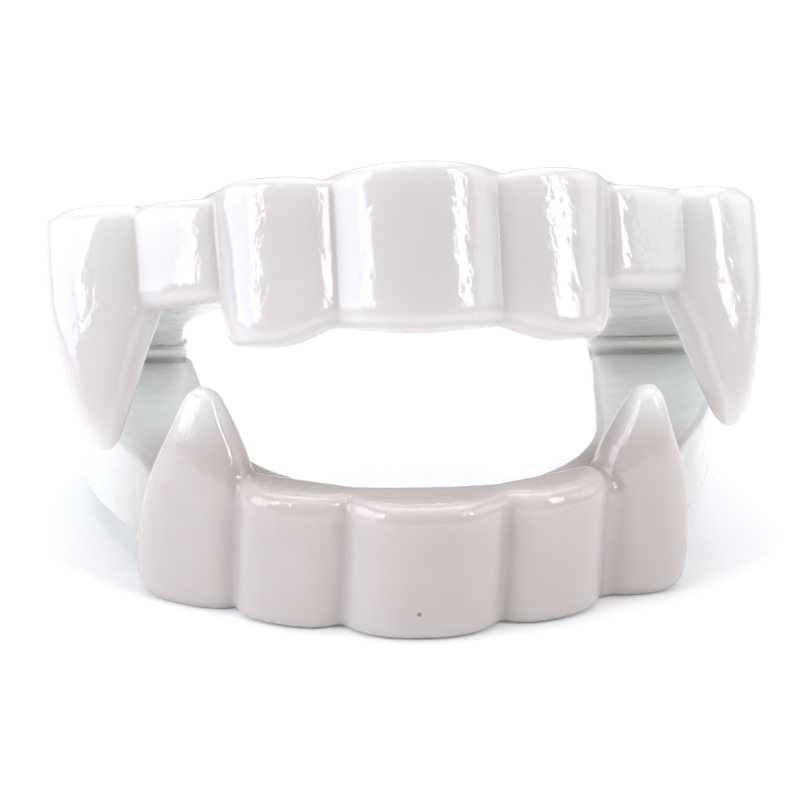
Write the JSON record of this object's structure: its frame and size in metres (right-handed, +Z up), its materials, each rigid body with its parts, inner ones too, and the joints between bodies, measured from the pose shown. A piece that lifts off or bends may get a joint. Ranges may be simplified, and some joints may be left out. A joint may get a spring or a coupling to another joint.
{
  "type": "vampire fang denture",
  "caption": "Soft white plastic costume denture: an upper and a lower arch of joined teeth with long fangs, hinged at the rear of the bite legs.",
  "frame": {"origin": "middle of the floor rectangle that the standing denture covers, on the floor", "axes": "+X to the wearer's left side of the row, +Y from the front teeth back to the hinge, +Z up from the lower teeth's flat bottoms"},
  "size_m": [0.063, 0.0438, 0.0387],
  "materials": {
    "soft_pvc": "milky white moulded soft PVC, glossy",
    "hinge_pvc": "thin moulded soft PVC at the fold"
  },
  "bodies": {
    "lower": {"lower_arch": "soft_pvc", "hinge_web_left": "hinge_pvc", "hinge_web_right": "hinge_pvc"},
    "upper": {"upper_arch": "soft_pvc"}
  },
  "joints": [
    {"name": "jaw_hinge", "type": "hinge", "parent": "lower", "child": "upper", "pos_m": [0, 0.02063, 0.0115], "axis": [-1, 0, 0], "range_deg": [-12, 62], "stiffness_Nm_per_rad": 0.06, "springref_deg": 1.48}
  ]
}
